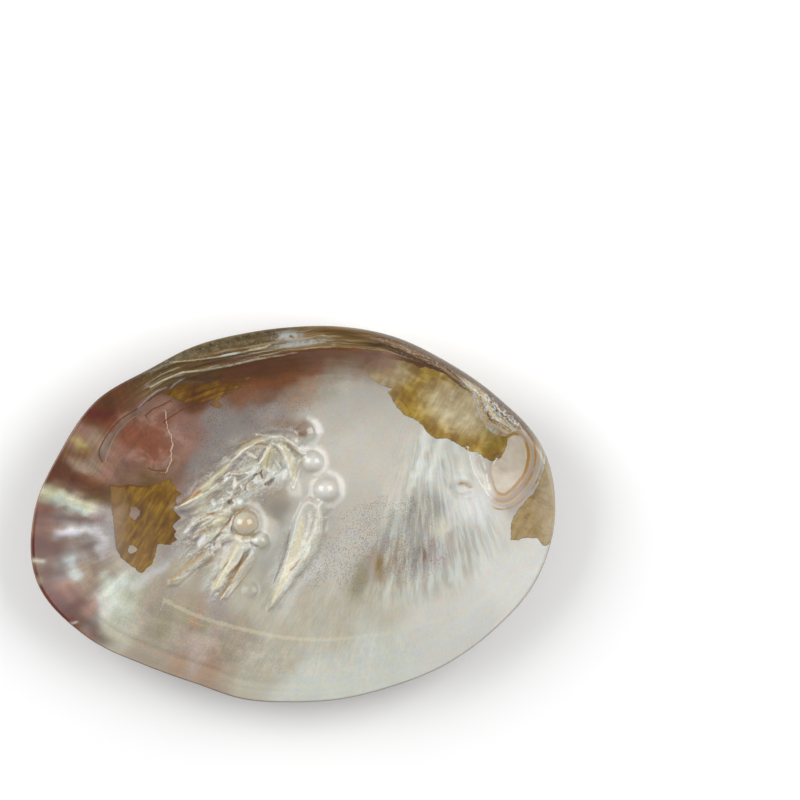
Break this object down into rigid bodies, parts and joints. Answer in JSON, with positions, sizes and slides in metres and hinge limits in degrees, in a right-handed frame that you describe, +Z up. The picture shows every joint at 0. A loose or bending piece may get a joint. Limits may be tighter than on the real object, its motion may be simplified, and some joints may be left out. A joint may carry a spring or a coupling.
{
  "type": "freshwater pearl mussel shell",
  "caption": "Left valve of a freshwater pearl mussel, hollow side up, with blister pearls and folds of nacre grown onto its inside; a keepsake dish that rests on its rounded back.",
  "frame": {"origin": "under the middle of the shell, on the surface that it rests on", "axes": "+X towards the front end, along the length; +Y towards the hinge; +Z up, out of the hollow"},
  "size_m": [0.1489, 0.107, 0.0211],
  "materials": {
    "nacre": "polished nacre inside, matt growth lines outside"
  },
  "bodies": {
    "root": {"shell": "nacre"}
  },
  "joints": []
}
